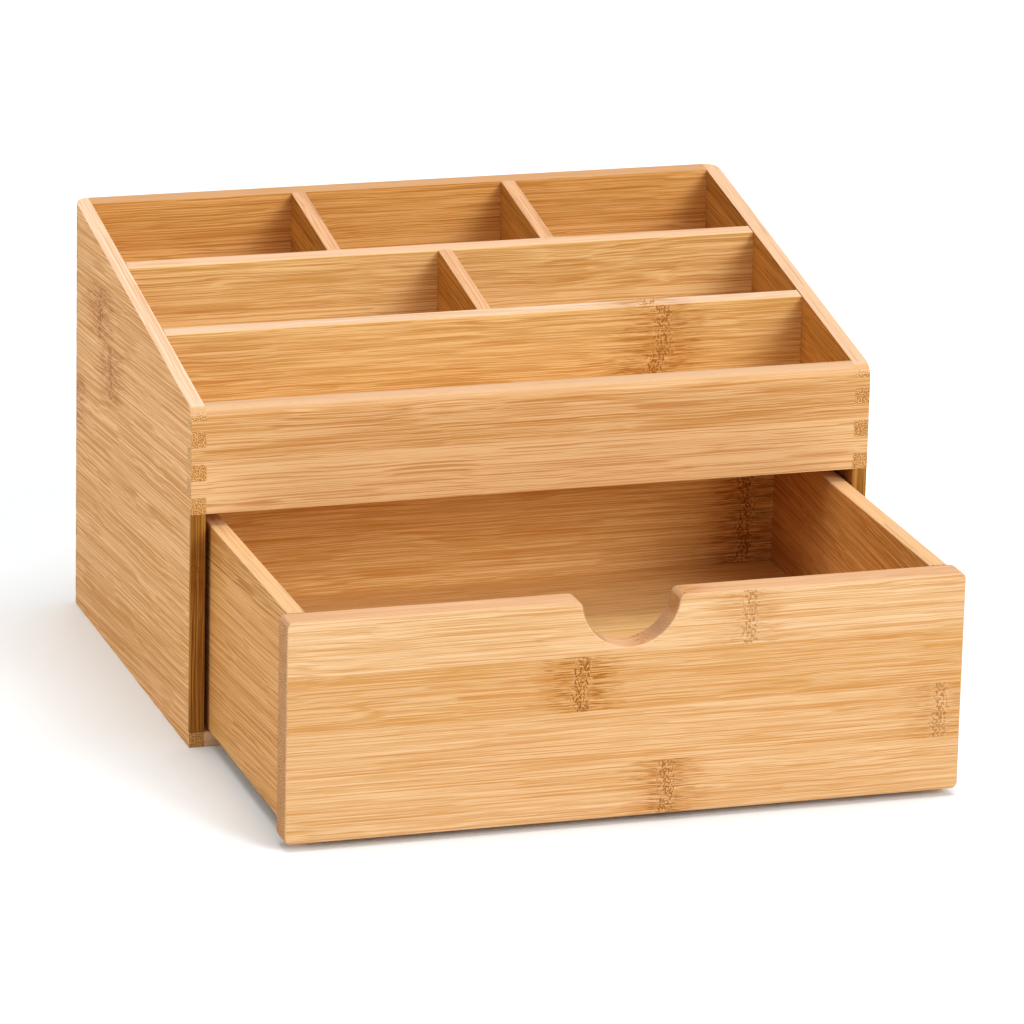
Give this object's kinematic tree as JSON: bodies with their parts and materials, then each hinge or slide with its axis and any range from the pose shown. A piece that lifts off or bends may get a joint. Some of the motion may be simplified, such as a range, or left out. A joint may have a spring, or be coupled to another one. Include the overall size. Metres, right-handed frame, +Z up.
{
  "type": "desk organizer",
  "caption": "Bamboo desk organizer with stepped open compartments under a sloping top and one wide drawer with a half-round finger notch.",
  "frame": {"origin": "centre of the case's footprint, on the surface that it stands on", "axes": "+X to the case's right side, +Y to its back, +Z up; the drawer opens towards -Y"},
  "size_m": [0.33, 0.374, 0.205],
  "materials": {
    "case_bamboo": "satin lacquered bamboo, fine straight grain with nodes, end grain at the fingers",
    "strip_bamboo": "satin lacquered bamboo, darker, with upright grain",
    "divider_bamboo": "satin lacquered bamboo, fine straight grain",
    "front_bamboo": "satin lacquered bamboo in broad staves, darker nodes",
    "box_bamboo": "satin bamboo, slightly darker than the front",
    "dowel_wood": "plain hardwood dowel"
  },
  "bodies": {
    "case": {"left_side_panel": "case_bamboo", "right_side_panel": "case_bamboo", "left_edge_strip": "strip_bamboo", "right_edge_strip": "strip_bamboo", "back_panel": "case_bamboo", "front_apron": "case_bamboo", "tray_floor": "divider_bamboo", "rear_long_divider": "divider_bamboo", "front_long_divider": "divider_bamboo", "rear_cross_divider_left": "divider_bamboo", "rear_cross_divider_right": "divider_bamboo", "middle_cross_divider": "divider_bamboo", "bottom_board": "case_bamboo"},
    "drawer": {"drawer_front": "front_bamboo", "drawer_left_side": "box_bamboo", "drawer_right_side": "box_bamboo", "drawer_back": "box_bamboo", "drawer_bottom": "box_bamboo", "drawer_front_dowels": "dowel_wood"}
  },
  "joints": [
    {"name": "drawer_slide", "type": "slide", "parent": "case", "child": "drawer", "axis": [0, -1, 0], "range_m": [-0.1317, 0.043]}
  ]
}
